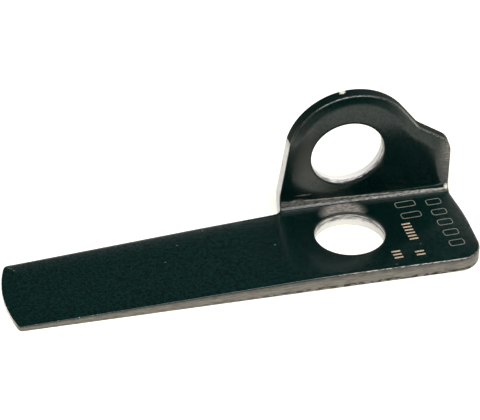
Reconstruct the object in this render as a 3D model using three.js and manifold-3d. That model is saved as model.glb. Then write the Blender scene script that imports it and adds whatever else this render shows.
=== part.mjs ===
// A knifeblade piton: one steel plate, thinned towards the tip of its blade, pierced with two eyes,
// and bent square behind the lower eye so that the upper eye stands in a tab.
// Lengths are millimetres. The plate lies flat, X runs from the tip to the head and Z points up.

import * as THREE from 'three';
import { mergeVertices } from 'three/addons/utils/BufferGeometryUtils.js';
import Module from 'manifold-3d';

const wasm = await Module();
wasm.setup();

// Plate stock
const thickness = 4;
const tipThickness = 1.45;
const edgeRound = 0.6;

// Plan of the blade and the head, measured from the centre of the lower eye
const bladeReach = 85.4;
const headReach = 29.8;
const frontWall = 6.5;
const tipWidth = 22.8;
const tipCrownRadius = 34;
const tipFrontRound = 1;
const tipBackRound = 1.5;
const headCornerRound = 6.5;
const headEndDraw = 1.2;
const lowerEyeDiameter = 17;

// Bend between the head and the tab
const tabWall = 4.5;
const bendRadius = 1.9;
const bendLap = 1.5;
const rootReach = 14;
const rootFillet = 2;

// Tab: its crown follows the upper eye, and its shoulder follows the crown
const upperEyeDiameter = 18.3;
const upperEyeSide = 2.5;
const upperEyeSill = 5.05;
const crownWall = 7.15;
const crownShift = 0.7;
const crownCornerInset = 1.2;
const crownCornerRound = 1.5;
const neckClearance = 0.2;
const neckLift = 4.8;
const neckFillet = 4;
const shoulderDrop = 5.4;
const shoulderRound = 4.5;

// Facets and cutters
const facetAngle = Math.PI / 24;
const edgeSteps = 2;
const cutterOverrun = 5;

// Places worked out from the sizes
const lowerEyeRadius = lowerEyeDiameter / 2;
const frontReach = lowerEyeRadius + frontWall;
const tabFaceReach = lowerEyeRadius + tabWall;
const bendLine = tabFaceReach - bendRadius;
const bendTop = thickness + bendRadius;
const tabBack = tabFaceReach + thickness;
const headEnd = headReach - headEndDraw;
const bladeRoot = -rootReach - rootFillet;
const upperEyeRadius = upperEyeDiameter / 2;
const upperEye = new THREE.Vector2(upperEyeSide, thickness + upperEyeSill + upperEyeRadius);
const crownRadius = upperEyeRadius + crownWall;
const crownCentre = upperEye.clone().addScalar(crownShift);
const neckReach = crownRadius + neckClearance;
const tipMiddle = tipWidth / 2 - frontReach;
const tipCentre = new THREE.Vector2(tipCrownRadius - bladeReach, tipMiddle);
const headCorner = new THREE.Vector2(headReach - headCornerRound, headCornerRound - frontReach);

// Points along an arc, ends included
function arc(centre, radius, from, to) {
  const steps = Math.max(1, Math.ceil(Math.abs(to - from) / facetAngle));
  return Array.from({ length: steps + 1 }, (_, i) => {
    const angle = from + ((to - from) * i) / steps;
    return new THREE.Vector2(Math.cos(angle), Math.sin(angle)).multiplyScalar(radius).add(centre);
  });
}

// Angle at which a line from a point outside a circle touches it, on the chosen side
function touchAngle(point, centre, radius, side) {
  const towards = point.clone().sub(centre);
  return towards.angle() + side * Math.acos(radius / towards.length());
}

// Replaces the corner at a point by an arc that touches the lines to its neighbours
function roundCorner(before, corner, after, radius) {
  const back = before.clone().sub(corner).normalize();
  const ahead = after.clone().sub(corner).normalize();
  const half = Math.acos(THREE.MathUtils.clamp(back.dot(ahead), -1, 1)) / 2;
  const middle = back.clone().add(ahead).normalize();
  const centre = corner.clone().addScaledVector(middle, radius / Math.sin(half));
  const from = corner.clone().addScaledVector(back, radius / Math.tan(half)).sub(centre).angle();
  const to = corner.clone().addScaledVector(ahead, radius / Math.tan(half)).sub(centre).angle();
  const turn = Math.atan2(Math.sin(to - from), Math.cos(to - from));
  return arc(centre, radius, from, from + turn);
}

// Plate of a given outline, with its edges and the rims of its holes rounded
function plate(outline, depth, round, holes = []) {
  const shape = new THREE.Shape(outline);
  holes.forEach((hole) => shape.holes.push(new THREE.Path(hole)));
  const geometry = new THREE.ExtrudeGeometry(shape, {
    depth: depth - 2 * round,
    bevelEnabled: round > 0,
    bevelThickness: round,
    bevelSize: round,
    bevelOffset: -round,
    bevelSegments: edgeSteps,
  });
  return geometry.translate(0, 0, round);
}

// Turns a drawing so that its own x, y and z run along the three given directions
function stand(geometry, xAxis, yAxis, zAxis) {
  return geometry.applyMatrix4(new THREE.Matrix4().makeBasis(xAxis, yAxis, zAxis));
}

function solid(geometry) {
  geometry.deleteAttribute('normal');
  geometry.deleteAttribute('uv');
  const merged = mergeVertices(geometry);
  return new wasm.Manifold(new wasm.Mesh({
    numProp: 3,
    vertProperties: new Float32Array(merged.attributes.position.array),
    triVerts: new Uint32Array(merged.index.array),
  }));
}

const alongX = new THREE.Vector3(1, 0, 0);
const alongY = new THREE.Vector3(0, 1, 0);
const alongZ = new THREE.Vector3(0, 0, 1);

// Blade and head: the flat part of the plate, up to the bend line
function flatPlate() {
  const tipFront = tipCornerAt(-frontReach);
  const tipBack = tipCornerAt(tipWidth - frontReach);
  const root = new THREE.Vector2(bladeRoot, bendLine);
  const bendEnd = new THREE.Vector2(headEnd, bendLine);
  const cornerTop = touchAngle(bendEnd, headCorner, headCornerRound, -1);
  const headCornerArc = arc(headCorner, headCornerRound, -Math.PI / 2, cornerTop);
  const tipArc = arc(
    tipCentre,
    tipCrownRadius,
    tipBack.clone().sub(tipCentre).angle(),
    tipFront.clone().sub(tipCentre).angle(),
  ).slice(1, -1);
  const outline = [
    ...roundCorner(tipArc.at(-1), tipFront, headCornerArc[0], tipFrontRound),
    ...headCornerArc,
    bendEnd,
    root,
    ...roundCorner(root, tipBack, tipArc[0], tipBackRound),
    ...tipArc,
  ];
  const eye = arc(new THREE.Vector2(0, 0), lowerEyeRadius, 0, 2 * Math.PI).slice(1);
  return solid(plate(outline, thickness, edgeRound, [eye]));
}

// Point of the tip's crown at a given distance across the blade
function tipCornerAt(across) {
  const rise = across - tipCentre.y;
  return new THREE.Vector2(tipCentre.x - Math.sqrt(tipCrownRadius ** 2 - rise ** 2), across);
}

// Tab: the upright part of the plate, from the top of the bend
function tabPlate() {
  const neck = crownCentre.clone().add(new THREE.Vector2(neckReach, neckLift));
  const shoulder = new THREE.Vector2(headEnd, neck.y - shoulderDrop);
  const footRight = new THREE.Vector2(headEnd, bendTop);
  const footLeft = new THREE.Vector2(-rootReach, bendTop);
  const sideStart = new THREE.Vector2(-rootReach, bendTop + bendLap);
  const crownStart = touchAngle(neck, crownCentre, crownRadius, 1);
  const crownEnd = Math.acos(crownCornerInset / crownRadius - 1);
  const crown = arc(crownCentre, crownRadius, crownStart, crownEnd);
  const outline = [
    footRight,
    ...roundCorner(footRight, shoulder, neck, shoulderRound),
    ...roundCorner(shoulder, neck, crown[0], neckFillet),
    ...crown.slice(0, -1),
    ...roundCorner(crown.at(-2), crown.at(-1), sideStart, crownCornerRound),
    sideStart,
    footLeft,
  ];
  const eye = arc(upperEye, upperEyeRadius, 0, 2 * Math.PI).slice(1);
  const standing = stand(plate(outline, thickness, edgeRound, [eye]), alongX, alongZ, alongY.clone().negate());
  return solid(standing.translate(0, tabBack, 0));
}

// Section through the bend, with a short lap into the flat parts on both sides
function bendSection() {
  const centre = new THREE.Vector2(bendLine, bendTop);
  return [
    new THREE.Vector2(bendLine - bendLap, 0),
    ...arc(centre, bendRadius + thickness, -Math.PI / 2, 0),
    new THREE.Vector2(tabBack, bendTop + bendLap),
    new THREE.Vector2(tabFaceReach, bendTop + bendLap),
    ...arc(centre, bendRadius, 0, -Math.PI / 2),
    new THREE.Vector2(bendLine - bendLap, thickness),
  ];
}

function bendBar(from, to, round) {
  const bar = stand(plate(bendSection(), to - from, round), alongY, alongZ, alongX);
  return solid(bar.translate(from, 0, 0));
}

// Fillet in the notch between the back edge of the blade and the foot of the tab
function rootWeb() {
  const corner = new THREE.Vector2(bladeRoot, bendLine + rootFillet);
  const outline = [
    new THREE.Vector2(bladeRoot, bendLine - bendLap),
    new THREE.Vector2(bendLap - rootReach, bendLine - bendLap),
    new THREE.Vector2(bendLap - rootReach, bendLine + rootFillet),
    ...arc(corner, rootFillet, 0, -Math.PI / 2),
  ];
  const prism = solid(plate(outline, bendTop, 0));
  return bendBar(bladeRoot, bendLap - rootReach, 0).intersect(prism);
}

// Wedge that is ground off the top of the blade
function taperCutter() {
  const slope = (thickness - tipThickness) / (bladeReach + bladeRoot);
  const farEnd = -bladeReach - cutterOverrun;
  const outline = [
    new THREE.Vector2(bladeRoot, thickness),
    new THREE.Vector2(bladeRoot, thickness + cutterOverrun),
    new THREE.Vector2(farEnd, thickness + cutterOverrun),
    new THREE.Vector2(farEnd, thickness + slope * (farEnd - bladeRoot)),
  ];
  const wedge = plate(outline, frontReach + bendLine + 2 * cutterOverrun, 0);
  const standing = stand(wedge, alongX, alongZ, alongY.clone().negate());
  return solid(standing.translate(0, bendLine + cutterOverrun, 0));
}

function pitonGeometry() {
  const body = flatPlate()
    .add(bendBar(-rootReach, headEnd, edgeRound))
    .add(rootWeb())
    .add(tabPlate())
    .subtract(taperCutter());
  const { numProp, vertProperties, triVerts } = body.getMesh();
  const geometry = new THREE.BufferGeometry();
  geometry.setAttribute('position', new THREE.BufferAttribute(vertProperties, numProp));
  geometry.setIndex(new THREE.BufferAttribute(triVerts, 1));
  geometry.computeVertexNormals();
  return geometry;
}

const lacqueredSteel = new THREE.MeshStandardMaterial({
  color: new THREE.Color().setRGB(0.055, 0.105, 0.095, THREE.SRGBColorSpace),
  roughness: 0.28,
  metalness: 0,
});

// The origin is the centre of the footprint, on the plane that the underside lies on
const piton = new THREE.Mesh(pitonGeometry(), lacqueredSteel);
piton.name = 'piton_body';
piton.position.set((bladeReach - headReach) / 2, (frontReach - tabBack) / 2, 0);

const knifebladePiton = new THREE.Group();
knifebladePiton.add(piton);

export default knifebladePiton;
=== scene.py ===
"""A knifeblade piton of lacquered steel plate, made as its maker makes it.

A flat blank is cut with its two eyes, its blade is thinned towards the tip, its edges are rolled by
the die, and its tab is folded up square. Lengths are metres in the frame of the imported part. The
blank is drawn from the centre of the lower eye: X runs to the head, Y across the blade and up the
unfolded tab, and Z out of the top face.
"""

import math
from functools import reduce

import bmesh
import bpy
import numpy as np
from bpy.props import FloatProperty, FloatVectorProperty, IntProperty, PointerProperty
from mathutils import Matrix, Vector, geometry, kdtree


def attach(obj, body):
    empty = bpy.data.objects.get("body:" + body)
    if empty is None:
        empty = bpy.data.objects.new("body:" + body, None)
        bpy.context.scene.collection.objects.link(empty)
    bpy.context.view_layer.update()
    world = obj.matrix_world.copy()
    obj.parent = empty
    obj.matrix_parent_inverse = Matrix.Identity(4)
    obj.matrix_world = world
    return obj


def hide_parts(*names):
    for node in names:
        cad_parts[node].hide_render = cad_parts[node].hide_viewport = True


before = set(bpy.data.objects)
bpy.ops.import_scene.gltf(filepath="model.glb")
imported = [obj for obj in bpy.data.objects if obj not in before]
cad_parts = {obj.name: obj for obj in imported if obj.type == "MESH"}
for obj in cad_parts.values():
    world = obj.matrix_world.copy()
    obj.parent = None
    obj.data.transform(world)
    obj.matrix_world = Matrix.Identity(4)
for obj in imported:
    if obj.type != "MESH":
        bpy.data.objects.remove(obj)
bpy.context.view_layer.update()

bl_info = {
    "name": "Knifeblade piton",
    "version": (1, 0, 0),
    "blender": (4, 5, 0),
    "location": "3D View > Sidebar > Piton",
    "description": "Makes a folded and lacquered steel piton with its stage",
    "category": "Add Mesh",
}

NODE = "piton_body"
BODY = "root"
MM = 0.001
QUARTER_TURN = math.pi / 2
FULL_TURN = 2 * math.pi
ARC_STEP = math.radians(3)


def length(name, description, default):
    """Property that holds a length"""
    return FloatProperty(name=name, description=description, default=default, unit="LENGTH",
                         precision=6)


def share(name, description, default):
    """Property that holds a share from 0 to 1"""
    return FloatProperty(name=name, description=description, default=default, min=0, max=1,
                         subtype="FACTOR")


def amount(name, description, default):
    """Property that holds a plain number"""
    return FloatProperty(name=name, description=description, default=default, min=0)


def colour(name, description, default):
    """Property that holds a colour"""
    return FloatVectorProperty(name=name, description=description, default=default, min=0, max=1,
                               subtype="COLOR")


def spot(name, description, default):
    """Property that holds a place on the blank"""
    return FloatVectorProperty(name=name, description=description, default=default, size=2,
                               precision=6)


def position(name, description, default):
    """Property that holds a place in space"""
    return FloatVectorProperty(name=name, description=description, default=default,
                               precision=6, subtype="TRANSLATION")


class PITON_PG_plate(bpy.types.PropertyGroup):
    """Sizes of the blank and of its fold"""

    thickness: length("Plate", "Thickness of the plate", 4 * MM)
    tip_thickness: length("Tip", "Thickness of the blade at its tip", 1.45 * MM)
    blade_reach: length("Blade reach", "From the lower eye's centre to the tip", 85.38 * MM)
    head_reach: length("Head reach", "From the lower eye's centre to the head end", 29.78 * MM)
    front_reach: length("Front reach", "From the lower eye's centre to the front edge", 15 * MM)
    tip_width: length("Tip width", "Width of the blade at its tip", 23.45 * MM)
    tip_crown: length("Tip crown", "Radius of the curved end of the blade", 34 * MM)
    tip_front_round: length("Tip front round", "Radius of the tip's front corner", 1 * MM)
    tip_back_round: length("Tip back round", "Radius of the tip's back corner", 1.5 * MM)
    head_corner: length("Head corner", "Radius of the head's front corner", 6.2 * MM)
    head_draw: length("Head draw", "How far the head end draws in towards the tab", 1.1 * MM)
    end_middle: length("End middle", "How far behind the lower eye's centre the head end starts "
                       "to draw in", 2 * MM)
    end_round: length("End round", "Radius of the slight turn in the head end", 60 * MM)
    lower_eye: spot("Lower eye", "Width and height of the eye in the head",
                    (17.2 * MM, 16.5 * MM))
    lower_shift: length("Lower eye shift", "How far this eye stands towards the fold", 0.25 * MM)
    tab_face_reach: length("Tab reach", "From the lower eye's centre to the tab's face", 13 * MM)
    bend_radius: length("Bend radius", "Inner radius of the fold", 1.9 * MM)
    side_foot: length("Side foot", "Height of the upright foot of the tab's left side", 1.5 * MM)
    root_reach: length("Root reach", "From the lower eye's centre to the tab's left side", 14.25 * MM)
    root_fillet: length("Root fillet", "Radius in the notch between blade and tab", 2 * MM)
    notch_lift: length("Notch lift", "How far the notch lies past the bend line", 1.25 * MM)
    upper_eye: spot("Upper eye", "Width and height of the eye in the tab", (18.45 * MM, 17.9 * MM))
    upper_side: length("Upper eye side", "How far the upper eye stands towards the head end",
                       2.42 * MM)
    upper_rise: length("Upper eye rise", "Height of the upper eye's centre over the head",
                       14.05 * MM)
    crown_radius: length("Crown radius", "Radius of the tab's round top", 16.15 * MM)
    crown_shift: spot("Crown shift", "From the upper eye's centre to the crown's",
                      (1.02 * MM, 0.36 * MM))
    crown_inset: length("Crown inset", "Where the tab's left side cuts into the crown", 0.6 * MM)
    crown_corner: length("Crown corner", "Radius between the crown and the left side", 1.5 * MM)
    neck_clearance: length("Neck clearance", "From the crown's side to the neck", 0.8 * MM)
    neck_lift: length("Neck lift", "Height of the neck over the crown's centre", 4.5 * MM)
    neck_fillet: length("Neck fillet", "Radius in the neck beside the crown", 4 * MM)
    shoulder_drop: length("Shoulder drop", "From the neck down to the shoulder", 5.6 * MM)
    shoulder_round: length("Shoulder round", "Radius of the shoulder", 4.5 * MM)
    tab_spread: length("Tab spread", "How far the tab's right side stands past the head end",
                       0.25 * MM)
    taper_start: length("Taper start", "From the lower eye's centre to where the blade thins",
                        12.5 * MM)
    taper_power: amount("Taper power", "Under 1 the blade thins faster near its root", 0.93)
    taper_ease: share("Taper ease", "How softly the taper starts", 0.04)
    eye_place: position("Eye place", "Where the lower eye's centre stands on the underside",
                        (27.8 * MM, -1 * MM, 0))
    wave: length("Wave", "Depth of the faint waves that pressing leaves in the faces", 0.02 * MM)
    wave_length: length("Wave length", "Distance between these waves", 14 * MM)


class PITON_PG_edges(bpy.types.PropertyGroup):
    """Sizes of the rolled and rounded edges, and of the mesh that shows them"""

    lip: length("Lip", "Radius of the tight round on the rolled edge", 0.35 * MM)
    eye_lip: length("Eye lip", "Radius of the tight round at an eye", 0.2 * MM)
    under: length("Under round", "Radius of the round along the underside", 0.5 * MM)
    tab_under: length("Tab back round", "Radius of the round along the tab's back", 0.55 * MM)
    tab_draft: length("Tab draft", "How far the tab's edge spreads towards its back", 0.15 * MM)
    tip_scale: share("Tip scale", "Size of these rounds at the tip", 0.4)
    roll_power: amount("Roll power", "Near 1 the rolled band round the tab is a straight slope", 1.1)
    soft_power: amount("Soft power", "The same for the other edges, which curve down softly", 2.0)
    tab_roll: length("Tab roll", "Width of the rolled band round the tab", 2.3 * MM)
    tab_roll_drop: length("Tab roll drop", "Depth of that roll at the edge", 0.88 * MM)
    left_roll: length("Left roll", "Width of the roll on the tab's left side", 1.4 * MM)
    left_roll_drop: length("Left roll drop", "Depth of that roll at the edge", 0.3 * MM)
    right_roll: length("Right roll", "Width of the roll on the tab's right side", 3.4 * MM)
    right_roll_drop: length("Right roll drop", "Depth of that roll at the edge", 0.45 * MM)
    back_roll: length("Back roll", "Width of the roll along the blade's back edge", 6.5 * MM)
    back_roll_drop: length("Back roll drop", "Depth of that roll at the edge", 0.3 * MM)
    tip_roll: length("Tip roll", "Width of the roll round the blade's tip", 6 * MM)
    tip_roll_drop: length("Tip roll drop", "Depth of that roll at the edge", 0.14 * MM)
    end_roll: length("End roll", "Width of the roll along the head end", 4.5 * MM)
    end_roll_drop: length("End roll drop", "Depth of that roll at the edge", 0.22 * MM)
    front_roll: length("Front roll", "Width of the roll along the front edge", 1.2 * MM)
    front_roll_drop: length("Front roll drop", "Depth of that roll at the edge", 0.05 * MM)
    eye_roll: length("Eye roll", "Width of the roll round an eye", 0.6 * MM)
    eye_roll_drop: length("Eye roll drop", "Depth of that roll at the rim", 0.02 * MM)
    rim_step: length("Rim step", "Distance between points along an edge", 0.4 * MM)
    row_step: length("Row step", "Distance between the rows of points that follow a rim",
                     0.45 * MM)
    row_count: IntProperty(name="Rows", description="Rows of points that follow a rim", default=5)
    face_step: length("Face step", "Distance between points in a face", 0.9 * MM)


class PITON_PG_finish(bpy.types.PropertyGroup):
    """Colours of the lacquer, the bare steel and the floor, and the lacquer's gloss"""

    lacquer: colour("Lacquer", "Colour of the lacquer", (0.0, 0.0062, 0.0050))
    lacquer_thin: colour("Thin lacquer", "Colour where the lacquer lies thin",
                         (0.0012, 0.0205, 0.0172))
    dust: colour("Dust", "Colour of the dust specks in the lacquer", (0.14, 0.18, 0.15))
    lacquer_specular: share("Lacquer specular", "Specular level of the lacquer under its gloss", 0.1)
    coat_roughness: share("Gloss roughness", "Roughness of the lacquer's gloss", 0.17)
    # haze colour: for scuff marks and the tool mark, and also for painted light, painted reflections
    # and part of the fold's highlight
    haze: colour("Haze", "Colour of lacquer that is scuffed to a haze", (0.32, 0.29, 0.255))
    worn: colour("Worn steel", "Colour of steel that shows through the lacquer",
                 (0.46, 0.42, 0.38))
    steel: colour("Steel", "Colour of bare steel", (0.185, 0.171, 0.150))
    # also the colour of the painted glint at the fold's corner
    chip_and_glint: colour("Chipped", "Colour of a fresh chip", (0.80, 0.76, 0.68))
    # painted sheen: near-white steel colour for the eye walls, the tab's left side and the tip,
    # standing in for the floor reflected in the bare steel
    sheen_steel: colour("Bright steel", "Colour of the freshly broken steel", (0.95, 0.93, 0.90))
    # colour of the dark dashes along the foot of a cut wall
    steel_dark: colour("Dark steel", "Colour of scale and soot on bare steel", (0.02, 0.018, 0.016))
    etch_line: colour("Etched line", "Colour of a thin line etched through the lacquer",
                      (0.34, 0.33, 0.28))
    etch_grain: colour("Etched grain", "Colour of a solid mark etched through the lacquer",
                       (0.78, 0.60, 0.44))
    floor: colour("Floor", "Colour of the floor", (0.86, 0.855, 0.81))
    floor_glow: colour("Floor glow", "Colour that the floor adds to a direct look or a reflection",
                       (1.0, 0.97, 0.84))


class PITON_PG_marks(bpy.types.PropertyGroup):
    """Sizes of the plain etched bars beside the lower eye"""

    run: spot("Run", "Direction of the rows", (0.05, -1.0))
    long_row: spot("Long row", "First of the hollow bars in the long row", (23.5 * MM, 8.2 * MM))
    long_count: IntProperty(name="Long count", description="Bars in the long row", default=5)
    long_size: spot("Long size", "Length and width of such a bar", (3.7 * MM, 2.1 * MM))
    long_pitch: length("Long pitch", "Distance between these bars", 4.2 * MM)
    pair: spot("Pair", "First of the two larger hollow bars", (16.4 * MM, 8.7 * MM))
    pair_size: spot("Pair size", "Length and width of such a bar", (5.0 * MM, 2.1 * MM))
    pair_pitch: length("Pair pitch", "Distance between these bars", 4.5 * MM)
    scale: spot("Scale", "First tick of the scale", (14.3 * MM, 1.0 * MM))
    scale_count: IntProperty(name="Scale count", description="Ticks in the scale", default=6)
    left_ticks: spot("Left ticks", "First of the three ticks", (8.9 * MM, -8.9 * MM))
    right_ticks: spot("Right ticks", "First of the two ticks", (14.5 * MM, -10.0 * MM))
    tick_size: spot("Tick size", "Length and width of a solid tick", (2.2 * MM, 0.5 * MM))
    tick_pitch: length("Tick pitch", "Distance between solid ticks", 1.2 * MM)
    line: length("Line", "Width of an etched line", 0.2 * MM)
    rise: length("Rise", "Height of the etched grain over the lacquer", 0.015 * MM)


class PITON_PG_stage(bpy.types.PropertyGroup):
    """Camera, lamps and floor"""

    lens: FloatProperty(name="Lens", description="Focal length in millimetres", default=187.5,
                        unit="CAMERA")
    camera: position("Camera", "Place of the camera", (-0.1153, -0.4584, 0.3743))
    aim: position("Aim", "Point that the camera looks at", (0.0052, 0.0189, 0.0))
    roll: FloatProperty(name="Roll", description="Turn of the camera about its own axis",
                        default=math.radians(1.31), subtype="ANGLE")
    floor_radius: length("Floor radius", "Radius of the round floor", 3.0)
    rim_height: length("Rim height", "Height of the floor's turned-up rim", 0.19)
    world: amount("World", "Strength of the world's even light", 0.05)
    overhead: amount("Overhead", "Radiance of the softbox overhead", 5.0)
    overhead_place: position("Overhead place", "Place of that softbox", (0, -0.545, 1))
    overhead_aim: position("Overhead aim", "Point that it faces", (0, -0.545, 0))
    overhead_size: spot("Overhead size", "Its width and depth", (1.7, 0.81))
    back: amount("Back", "Radiance of the low softbox behind", 1.3)
    back_place: position("Back place", "Place of that softbox", (0.9, 1.5, 0.54))
    back_aim: position("Back aim", "Point that it faces", (0, 0, 0))
    back_size: spot("Back size", "Its width and height", (1.9, 0.8))
    glow_near: amount("Near glow", "What the floor adds to a look or a reflection close by", 0.5)
    glow_far: amount("Far glow", "The same far out, where the softboxes reach less", 1.05)
    glow_start: length("Glow start", "Distance at which the glow starts to rise", 0.25)
    glow_end: length("Glow end", "Distance at which it has risen", 1.1)


# Small helpers

def vec(x, y):
    return Vector((x, y))


def linked(tree, socket, value):
    """Feeds a socket from another socket, or sets its value"""
    if isinstance(value, bpy.types.NodeSocket):
        tree.links.new(value, socket)
    else:
        socket.default_value = value


def add_node(tree, kind, inputs=None, **settings):
    """Node with its settings and inputs"""
    made = tree.nodes.new(kind)
    for key, value in settings.items():
        setattr(made, key, value)
    for key, value in (inputs or {}).items():
        linked(tree, made.inputs[key], value)
    return made


def calc(tree, operation, *values, clamp=False):
    """Result of one step of arithmetic"""
    inputs = dict(enumerate(values))
    return add_node(tree, "ShaderNodeMath", inputs, operation=operation, use_clamp=clamp).outputs[0]


def remap(tree, value, low, high, start=0.0, end=1.0, kind="LINEAR"):
    """Value carried from one range to another, and kept inside it"""
    inputs = {"Value": value, "From Min": low, "From Max": high, "To Min": start, "To Max": end}
    return add_node(tree, "ShaderNodeMapRange", inputs, interpolation_type=kind).outputs[0]


def product(tree, *values):
    """Values multiplied together"""
    return reduce(lambda a, b: calc(tree, "MULTIPLY", a, b), values)


def largest(tree, *values):
    """The largest of some values"""
    return reduce(lambda a, b: calc(tree, "MAXIMUM", a, b), values)


def rest_of(tree, value):
    """What a share leaves of 1"""
    return calc(tree, "SUBTRACT", 1.0, value)


def new_tree(name, kind, inputs, outputs):
    """Empty node group with its named sockets, and its input and output nodes"""
    tree = bpy.data.node_groups.new(name, kind)
    for direction, sockets in (("INPUT", inputs), ("OUTPUT", outputs)):
        for label, socket_type, default in sockets:
            made = tree.interface.new_socket(label, in_out=direction, socket_type=socket_type)
            if default is not None:
                made.default_value = default
    return tree, tree.nodes.new("NodeGroupInput").outputs, tree.nodes.new("NodeGroupOutput").inputs


def run_tree(piece, tree, values):
    """Runs a geometry tree on a piece, and leaves a plain mesh without the modifier"""
    modifier = piece.modifiers.new(tree.name, "NODES")
    modifier.node_group = tree
    for socket in tree.interface.items_tree:
        if socket.in_out == "INPUT" and socket.name in values:
            modifier[socket.identifier] = values[socket.name]
    depsgraph = bpy.context.evaluated_depsgraph_get()
    result = bpy.data.meshes.new_from_object(piece.evaluated_get(depsgraph), depsgraph=depsgraph)
    piece.modifiers.remove(modifier)
    old = piece.data
    piece.data = result
    bpy.data.meshes.remove(old)
    result.name = piece.name
    result.shade_smooth()


def new_piece(name, mesh):
    piece = bpy.data.objects.new(name, mesh)
    bpy.context.scene.collection.objects.link(piece)
    return piece


# Outline of the blank

def arc(centre, radius, start, end):
    steps = max(2, math.ceil(abs(end - start) / ARC_STEP))
    angles = (start + (end - start) * i / steps for i in range(steps + 1))
    return [centre + vec(math.cos(a), math.sin(a)) * radius for a in angles]


def heading(direction):
    return math.atan2(direction.y, direction.x)


def touch_angle(point, centre, radius, side):
    """Angle at which a line from a point outside a circle touches it, on the chosen side"""
    towards = point - centre
    return heading(towards) + side * math.acos(radius / towards.length)


def round_corner(before, corner, after, radius):
    """Arc that touches both lines which meet in a corner"""
    back = (before - corner).normalized()
    ahead = (after - corner).normalized()
    half = back.angle(ahead) / 2
    centre = corner + (back + ahead).normalized() * (radius / math.sin(half))
    start = heading(corner + back * (radius / math.tan(half)) - centre)
    turn = heading(corner + ahead * (radius / math.tan(half)) - centre) - start
    return arc(centre, radius, start, start + math.remainder(turn, FULL_TURN))


class Layout:
    """Places on the blank that follow from its sizes"""

    def __init__(self, s):
        self.s = s
        self.bend_line = s.tab_face_reach - s.bend_radius
        self.bend_top = s.thickness + s.bend_radius
        self.fold_length = (s.bend_radius + s.thickness / 2) * QUARTER_TURN
        self.foot = self.bend_line + self.fold_length
        self.head_end = s.head_reach - s.head_draw
        self.tab_end = self.head_end + s.tab_spread
        self.upper_eye = vec(s.upper_side, self.unfolded(s.thickness + s.upper_rise))
        self.crown = self.upper_eye + vec(*s.crown_shift)
        self.eye_place = tuple(s.eye_place)

    def unfolded(self, height):
        """Where a point of the tab lies on the blank"""
        return self.foot + height - self.bend_top

    def tip_corner(self, across):
        s = self.s
        rise = across - (s.tip_width / 2 - s.front_reach)
        return vec(s.tip_crown - s.blade_reach - math.sqrt(s.tip_crown ** 2 - rise ** 2), across)

    def head_and_blade(self):
        """Outline from the tip's front corner round the head to the bend line"""
        s = self.s
        corner = vec(s.head_reach - s.head_corner, s.head_corner - s.front_reach)
        bend_end = vec(self.head_end, self.bend_line)
        head = arc(corner, s.head_corner, -QUARTER_TURN, 0)
        middle = vec(s.head_reach, s.end_middle)
        head += round_corner(head[-1], middle, bend_end, s.end_round)
        tip_arc = self.tip_arc()
        front = round_corner(tip_arc[-1], self.tip_corner(-s.front_reach), head[0],
                             s.tip_front_round)
        return front + head + [bend_end]

    def tip_arc(self):
        s = self.s
        centre = vec(s.tip_crown - s.blade_reach, s.tip_width / 2 - s.front_reach)
        start = heading(self.tip_corner(s.tip_width - s.front_reach) - centre) % FULL_TURN
        end = heading(self.tip_corner(-s.front_reach) - centre) % FULL_TURN
        return arc(centre, s.tip_crown, start, end)[1:-1]

    def tab(self):
        """Outline of the tab, from the head end over the crown to its left foot"""
        s = self.s
        neck = self.crown + vec(s.crown_radius + s.neck_clearance, s.neck_lift)
        shoulder = vec(self.tab_end, neck.y - s.shoulder_drop)
        start = touch_angle(neck, self.crown, s.crown_radius, 1)
        end = math.acos(s.crown_inset / s.crown_radius - 1)
        crown = arc(self.crown, s.crown_radius, start, end)
        side = vec(-s.root_reach, self.foot + s.side_foot)
        return [
            vec(self.tab_end, self.foot),
            *round_corner(vec(self.tab_end, self.foot), shoulder, neck, s.shoulder_round),
            *round_corner(shoulder, neck, crown[0], s.neck_fillet),
            *crown[:-1],
            *round_corner(crown[-2], crown[-1], side, s.crown_corner),
            side,
        ]

    def root_and_tip(self):
        """Outline from the notch back along the blade to the tip"""
        s = self.s
        notch = vec(-s.root_reach - s.root_fillet, self.bend_line + s.notch_lift + s.root_fillet)
        root = notch - vec(0, s.root_fillet)
        tip_arc = self.tip_arc()
        back = round_corner(root, self.tip_corner(s.tip_width - s.front_reach), tip_arc[0],
                            s.tip_back_round)
        return arc(notch, s.root_fillet, 0, -QUARTER_TURN) + back + tip_arc

    def outline(self):
        return self.head_and_blade() + self.tab() + self.root_and_tip()


def spaced(points, step):
    """Closed outline as an array of evenly spaced points"""
    loop = np.array([*points, points[0]])
    along = np.concatenate([[0], np.cumsum(np.hypot(*np.diff(loop, axis=0).T))])
    where = np.linspace(0, along[-1], round(along[-1] / step), endpoint=False)
    return np.column_stack([np.interp(where, along, loop[:, axis]) for axis in (0, 1)])


def inward(loop):
    """Unit normals of a closed outline, on the left of its direction"""
    ahead = np.roll(loop, -1, axis=0) - np.roll(loop, 1, axis=0)
    normal = np.column_stack([-ahead[:, 1], ahead[:, 0]])
    return normal / np.linalg.norm(normal, axis=1, keepdims=True)


def smoothed(values, count):
    """Moving average round a closed loop"""
    reach = range(-count, count + 1)
    return sum(np.roll(values, shift) for shift in reach) / len(reach)


# Mesh of the blank

ROUND_SHARES = np.linspace(0, 1, 7)
WALL_SHARES = np.linspace(0, 1, 7)[1:-1]
EASE_POINTS = 6
END_FACING = 0.5
LEFT_FACING = 0.9
RIGHT_FACING = 0.95
ROW_CLEAR_SHARE = 0.97
SPREAD_CLEAR_SHARE = 0.6
BRIGHT_SIDE_SHARE = 0.65
TIP_END_SHARE = 0.03
SEAM_GAP = 5 * MM


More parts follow.
